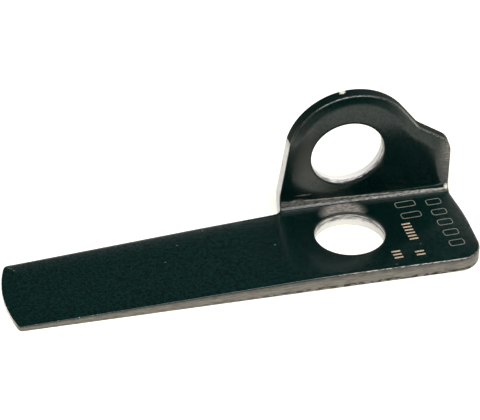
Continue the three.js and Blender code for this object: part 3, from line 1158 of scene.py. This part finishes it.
    def gloss(self, scuffed_and_sheen, rim):
        """Weight of the gloss, which is less on the tab's rolled band, on rims, on worn places, on
        scuff marks and where sheen is painted
        """
        tree = self.tree
        rolled = product(
            tree, ramp(tree, self.inset, "start of the roll"),
            ramp(tree, self.inset, "end of the roll"),
            ramp(tree, attribute(tree, "roll_drop"), "deep roll"),
            ramp(tree, self.across, "roll towards the neck"))
        dull = largest(tree, scuffed_and_sheen, product(tree, self.pressed, DULL_FOLD_SHARE))
        foot = calc(tree, "MINIMUM", self.patch("dull foot of the tab"), DULL_FOOT_SHARE)
        return product(
            tree, ramp(tree, self.grain["Mottle"], "uneven gloss"),
            rest_of(tree, largest(tree, product(tree, rolled, DULL_ROLL_SHARE), rim)),
            rest_of(tree, product(tree, dull, DULL_SCUFF_AND_SHEEN_SHARE)),
            ramp(tree, self.up, "gloss up the tab"), rest_of(tree, foot))


def lacquer_material(finish, groups, layout):
    """Gloss green-black lacquer, rubbed along the fold and chipping at the edges, with painted shade,
    light, reflections and a glint in its colour
    """
    material, tree, shader = new_material("lacquer")
    masks = LacquerMasks(tree, groups, layout)
    chip_and_glint, haze, rim = masks.chip_and_glint_masks(), masks.haze(), masks.rim()
    worn = largest(tree, masks.edge_wear(), masks.fold_wear(), chip_and_glint)
    # worn places, scuff marks and painted sheen together
    scuffed_and_sheen = largest(tree, worn, haze)

    # pale haze: partly scuff marks, partly painted light, reflections and highlight
    lacquer = mixed(tree, haze, masks.paint(finish), opaque(finish.haze))
    rubbed = mixed(tree, worn, lacquer, opaque(finish.worn))
    # chip colour, also the painted glint at the fold's corner
    linked(tree, shader.inputs["Base Color"], mixed(tree, chip_and_glint, rubbed, opaque(finish.chip_and_glint)))
    linked(tree, shader.inputs["Metallic"], product(
        tree, worn, rest_of(tree, product(tree, chip_and_glint, DULL_CHIP_AND_GLINT_SHARE))))
    rough = calc(tree, "MULTIPLY_ADD", scuffed_and_sheen, SCUFF_AND_SHEEN_ROUGHNESS, ramp(
        tree, masks.grain["Mottle"], "lacquer roughness"))
    linked(tree, shader.inputs["Roughness"], calc(
        tree, "MULTIPLY_ADD", rim, RIM_ROUGHNESS, rough))
    shader.inputs["Specular IOR Level"].default_value = finish.lacquer_specular
    linked(tree, shader.inputs["Coat Weight"], masks.gloss(scuffed_and_sheen, rim))
    shader.inputs["Coat Roughness"].default_value = finish.coat_roughness
    height = calc(tree, "MULTIPLY_ADD", worn, -WORN_DEPTH, masks.grain["Height"])
    add_bump(tree, shader, height, 0.14, 0.02 * MM)
    return material


def along_edge(tree, run, height, share):
    """Place on a cut edge, drawn out along the edge"""
    return add_node(tree, "ShaderNodeCombineXYZ", {
        "X": product(tree, run, share), "Y": height}).outputs[0]


def steel_colour(tree, finish, streaks, level, low_eye):
    """Colours of the outer edge, of its walls with a painted sheen, and of the eyes' streaked band and
    their painted sheen toward the underside
    """
    tone = product(tree, ramp(tree, streaks, "steel streaks"),
                   ramp(tree, level, "steel towards the lip"))
    grey = add_node(tree, "ShaderNodeCombineXYZ", {"X": tone, "Y": tone, "Z": tone}).outputs[0]
    outer = add_node(tree, "ShaderNodeMix", {0: 1.0, 6: opaque(finish.steel), 7: grey},
                     data_type="RGBA", blend_type="MULTIPLY").outputs[2]
    # painted sheen of the outer walls: the near-white steel colour, streaked
    fresh_and_sheen = mixed(tree, ramp(tree, streaks, "fresh streaks"), shaded(finish.sheen_steel, 0.35),
                  opaque(finish.sheen_steel))
    shorn = mixed(tree, ramp(tree, streaks, "shorn streaks"), shaded(finish.sheen_steel, 0.1),
                  shaded(finish.sheen_steel, 0.8))
    # painted sheen: near-white toward the underside, streaked steel toward the lacquered face
    eye = mixed(tree, ramp(tree, level, "painted sheen toward the underside"), shorn, opaque(finish.sheen_steel))
    return outer, fresh_and_sheen, mixed(tree, low_eye, eye, opaque(finish.steel))


def steel_material(finish, groups, layout):
    """Bare cut steel: streaks along the edge, lacquer run into the eyes, dark dashes below, and a
    painted sheen on the eye walls, the tab's left side and the tip
    """
    material, tree, shader = new_material("cut steel")
    place = plate_place(tree, layout)
    parts = add_node(tree, "ShaderNodeSeparateXYZ", {0: place}).outputs
    eye, sheen_mask = attribute(tree, "eye_wall"), attribute(tree, "painted_sheen_wall")
    edge_parts = add_node(tree, "ShaderNodeSeparateXYZ", {
        0: add_node(tree, "ShaderNodeUVMap", uv_map="edge_run").outputs[0]}).outputs
    run, height = edge_parts["X"], edge_parts["Y"]
    streaks = add_node(tree, "ShaderNodeTexNoise", {
        "Vector": along_edge(tree, run, height, 0.15), "Scale": 2200.0, "Detail": 4.0,
        "Roughness": 0.6}).outputs[0]
    grain = group_node(tree, groups["grain"], {
        "Vector": place, "Coarse scale": 900.0, "Fine scale": 4000.0, "Fine share": 0.6})
    uneven = product(tree, calc(tree, "SUBTRACT", grain["Mottle"], 0.5), UNEVEN_BANDS)
    outer, fresh_and_sheen, in_eye = steel_colour(
        tree, finish, streaks, calc(tree, "ADD", height, uneven),
        ramp(tree, parts["Z"], "dull lower eye"))
    # where the sheen is painted, the eye walls, the tab's left side and the tip take the near-white
    # colours
    metal = mixed(tree, sheen_mask, outer, mixed(tree, eye, fresh_and_sheen, in_eye))

    run_width = product(tree, patch(tree, place, "lacquer run into the eye"), MM)
    painted = product(tree, eye, group_node(tree, groups["wear"], {
        "Vector": place, "Distance": calc(tree, "SUBTRACT", RUN_TOP, height),
        "Width": calc(tree, "ADD", run_width, LEAST_RUN), "Patch scale": 500.0,
        "Amount": 1.05})["Mask"])
    # dark dashes along the foot of the wall, fainter towards the tip
    dashes = add_node(tree, "ShaderNodeTexNoise", {
        "Vector": along_edge(tree, run, height, 0.4), "Scale": 1500.0, "Detail": 2.0}).outputs[0]
    dark_dashes = product(tree, ramp(tree, dashes, "dashes"),
                   ramp(tree, height, "height of the dashes"),
                   ramp(tree, parts["X"], "dashes along the blade"), rest_of(tree, sheen_mask))
    with_dark_dashes = mixed(tree, dark_dashes, metal, opaque(finish.steel_dark))

    linked(tree, shader.inputs["Base Color"], mixed(tree, painted, with_dark_dashes, opaque(finish.lacquer)))
    # less metal where the sheen is painted, so the near-white colour shows
    linked(tree, shader.inputs["Metallic"], product(
        tree, rest_of(tree, largest(tree, painted, dark_dashes)),
        ramp(tree, sheen_mask, "metal of fresh steel")))
    linked(tree, shader.inputs["Roughness"], calc(
        tree, "MULTIPLY_ADD", dark_dashes, DARK_DASH_ROUGHNESS, ramp(
            tree, grain["Mottle"], "steel roughness")))
    add_bump(tree, shader, calc(tree, "ADD", streaks, grain["Height"]), 0.4, 0.04 * MM)
    return material


def etch_material(name, rgb, groups, layout):
    """Grain of a mark etched through the lacquer, pale and matt"""
    material, tree, shader = new_material(name)
    place = plate_place(tree, layout)
    grain = group_node(tree, groups["grain"], {
        "Vector": place, "Coarse scale": 1500.0, "Fine scale": 5000.0, "Fine share": 0.7})
    tone = remap(tree, grain["Mottle"], 0.38, 0.6)
    linked(tree, shader.inputs["Base Color"],
           mixed(tree, tone, shaded(rgb, 0.5), opaque(rgb)))
    shader.inputs["Roughness"].default_value = 0.7
    shader.inputs["Metallic"].default_value = 0.3
    add_bump(tree, shader, grain["Height"], 0.5, 0.02 * MM)
    return material


def floor_material(finish, stage):
    """Pale floor that keeps the shadow and looks white to the eye and in a reflection"""
    material, tree, shader = new_material("pale floor")
    shader.inputs["Base Color"].default_value = opaque(finish.floor)
    shader.inputs["Roughness"].default_value = 0.9
    shader.inputs["Specular IOR Level"].default_value = 0.0
    path = add_node(tree, "ShaderNodeLightPath").outputs
    seen = largest(tree, path["Is Camera Ray"], path["Is Glossy Ray"], path["Is Transmission Ray"])
    shader.inputs["Emission Color"].default_value = opaque(finish.floor_glow)
    place = add_node(tree, "ShaderNodeTexCoord").outputs["Object"]
    far = add_node(tree, "ShaderNodeVectorMath", {0: place}, operation="LENGTH").outputs["Value"]
    glow = remap(tree, far, stage.glow_start, stage.glow_end, stage.glow_near, stage.glow_far)
    linked(tree, shader.inputs["Emission Strength"], product(tree, seen, glow))
    return material


# Operators

class PITON_OT_plate(bpy.types.Operator):
    """Make the plate: cut the blank, thin the blade, roll the edges and fold the tab"""

    bl_idname = "piton.make_plate"
    bl_label = "Make the plate"

    def execute(self, context):
        scene = context.scene
        s, edges, finish = scene.piton_plate, scene.piton_edges, scene.piton_finish
        layout, groups = Layout(s), shared_groups()
        lacquer = lacquer_material(finish, groups, layout)
        steel = steel_material(finish, groups, layout)
        plate = new_piece("piton_plate", blank_mesh(layout, edges))
        run_tree(plate, fold_tree(lacquer, steel), {
            "Plate": s.thickness, "Bend line": layout.bend_line, "Bend radius": s.bend_radius,
            "Fold length": layout.fold_length, "Taper start": s.taper_start,
            "Taper length": s.blade_reach - s.taper_start,
            "Taper depth": s.thickness - s.tip_thickness, "Taper power": s.taper_power,
            "Taper ease": s.taper_ease, "Lower round": edges.under, "Upper round": edges.lip,
            "Wave": s.wave, "Wave length": s.wave_length, "Eye place": layout.eye_place})
        if len(plate.data.materials) < 2:
            raise RuntimeError("The plate has lost one of its two finishes")
        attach(plate, BODY)
        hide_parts(NODE)
        return {"FINISHED"}


class PITON_OT_marks(bpy.types.Operator):
    """Etch the rows of plain bars and ticks into the head"""

    bl_idname = "piton.etch_marks"
    bl_label = "Etch the marks"

    def execute(self, context):
        scene = context.scene
        marks, layout = scene.piton_marks, Layout(scene.piton_plate)
        finish, groups = scene.piton_finish, shared_groups()
        line = etch_material("etched line", finish.etch_line, groups, layout)
        grain = etch_material("etched grain", finish.etch_grain, groups, layout)
        hollow = row_tree("Row of hollow bars", line, True)
        solid = row_tree("Row of ticks", grain, False)
        long_row = (marks.long_count, marks.long_size, marks.long_pitch)
        for name, tree, start, (count, size, pitch) in (
                ("long_bar_row", hollow, marks.long_row, long_row),
                ("bar_pair", hollow, marks.pair, (2, marks.pair_size, marks.pair_pitch)),
                ("tick_scale", solid, marks.scale,
                 (marks.scale_count, marks.tick_size, marks.tick_pitch)),
                ("left_ticks", solid, marks.left_ticks, (3, marks.tick_size, marks.tick_pitch)),
                ("right_ticks", solid, marks.right_ticks, (2, marks.tick_size, marks.tick_pitch))):
            run = vec(*marks.run).normalized()
            row = new_piece(name, bpy.data.meshes.new(name))
            place = Vector(layout.eye_place) + Vector((*start, scene.piton_plate.thickness))
            run_tree(row, tree, {
                "Start": place, "Step": Vector((*(run * pitch), 0)), "Count": count,
                "Length": size[0], "Width": size[1], "Line": marks.line, "Rise": marks.rise,
                "Turn": heading(run) + QUARTER_TURN})
            face_outwards(row.data)
            if not row.data.polygons:
                raise RuntimeError(f"{name} came out empty")
            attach(row, BODY)
        return {"FINISHED"}


class PITON_OT_stage(bpy.types.Operator):
    """Make the stage: the floor, the lamps, the world and the camera"""

    bl_idname = "piton.make_stage"
    bl_label = "Make the stage"

    def execute(self, context):
        scene = context.scene
        stage = scene.piton_stage
        floor = new_piece("floor", floor_mesh(stage))
        floor.data.materials.append(floor_material(scene.piton_finish, stage))
        softbox("overhead_softbox", stage.overhead_place, stage.overhead_aim,
                stage.overhead_size, stage.overhead)
        softbox("back_softbox", stage.back_place, stage.back_aim, stage.back_size, stage.back)
        world = bpy.data.worlds.new("plain light")
        world.use_nodes = True
        background = world.node_tree.nodes["Background"]
        background.inputs["Color"].default_value = (1, 1, 1, 1)
        background.inputs["Strength"].default_value = stage.world
        scene.world = world
        place_camera(stage)
        scene.view_settings.view_transform = "Standard"
        return {"FINISHED"}


FLOOR_SPOKES = 96
FLOOR_RINGS = (0.4, 1.2)
RIM_STEPS = 12


def floor_mesh(stage):
    """Round floor whose rim turns up softly"""
    rings, count = [(radius, 0.0) for radius in FLOOR_RINGS], FLOOR_SPOKES
    start = stage.floor_radius - stage.rim_height
    for i in range(RIM_STEPS + 1):
        turn = QUARTER_TURN * i / RIM_STEPS
        rings.append((start + stage.rim_height * math.sin(turn),
                      stage.rim_height * (1 - math.cos(turn))))
    points = [(0, 0, 0)]
    for radius, height in rings:
        for i in range(count):
            a = FULL_TURN * i / count
            points.append((radius * math.cos(a), radius * math.sin(a), height))
    faces = [(0, 1 + i, 1 + (i + 1) % count) for i in range(count)]
    for ring in range(len(rings) - 1):
        base = 1 + ring * count
        for i in range(count):
            j = (i + 1) % count
            faces.append((base + i, base + count + i, base + count + j, base + j))
    mesh = bpy.data.meshes.new("floor")
    mesh.from_pydata(points, [], faces)
    mesh.shade_smooth()
    return mesh


def softbox(name, place, aim, size, radiance):
    """Area lamp of a given size and radiance, turned towards a point"""
    data = bpy.data.lights.new(name, "AREA")
    data.shape = "RECTANGLE"
    data.size, data.size_y = size
    data.energy = radiance * math.pi * size[0] * size[1]
    lamp = bpy.data.objects.new(name, data)
    bpy.context.scene.collection.objects.link(lamp)
    lamp.location = place
    lamp.rotation_euler = (Vector(aim) - Vector(place)).to_track_quat("-Z", "Y").to_euler()
    return lamp


def place_camera(stage):
    data = bpy.data.cameras.new("camera")
    data.lens = stage.lens
    data.clip_start = 0.05
    camera = bpy.data.objects.new("camera", data)
    bpy.context.scene.collection.objects.link(camera)
    towards = Vector(stage.aim) - Vector(stage.camera)
    turn = towards.to_track_quat("-Z", "Y").to_matrix() @ Matrix.Rotation(stage.roll, 3, "Z")
    camera.matrix_world = Matrix.Translation(stage.camera) @ turn.to_4x4()
    bpy.context.scene.camera = camera


class PITON_PT_sidebar(bpy.types.Panel):
    """Buttons and sizes of the piton"""

    bl_label = "Piton"
    bl_space_type = "VIEW_3D"
    bl_region_type = "UI"
    bl_category = "Piton"

    def draw(self, context):
        layout = self.layout
        for operator in (PITON_OT_plate, PITON_OT_marks, PITON_OT_stage):
            layout.operator(operator.bl_idname)
        for group in (context.scene.piton_plate, context.scene.piton_edges,
                      context.scene.piton_finish, context.scene.piton_marks,
                      context.scene.piton_stage):
            box = layout.box()
            for name in group.__annotations__:
                box.prop(group, name)


GROUPS = {
    "piton_plate": PITON_PG_plate,
    "piton_edges": PITON_PG_edges,
    "piton_finish": PITON_PG_finish,
    "piton_marks": PITON_PG_marks,
    "piton_stage": PITON_PG_stage,
}
CLASSES = (*GROUPS.values(), PITON_OT_plate, PITON_OT_marks, PITON_OT_stage, PITON_PT_sidebar)


def register():
    for cls in CLASSES:
        bpy.utils.register_class(cls)
    for name, group in GROUPS.items():
        setattr(bpy.types.Scene, name, PointerProperty(type=group))


def unregister():
    for name in GROUPS:
        delattr(bpy.types.Scene, name)
    for cls in reversed(CLASSES):
        bpy.utils.unregister_class(cls)


def main():
    register()
    bpy.ops.piton.make_plate()
    bpy.ops.piton.etch_marks()
    bpy.ops.piton.make_stage()


if __name__ == "__main__":
    main()
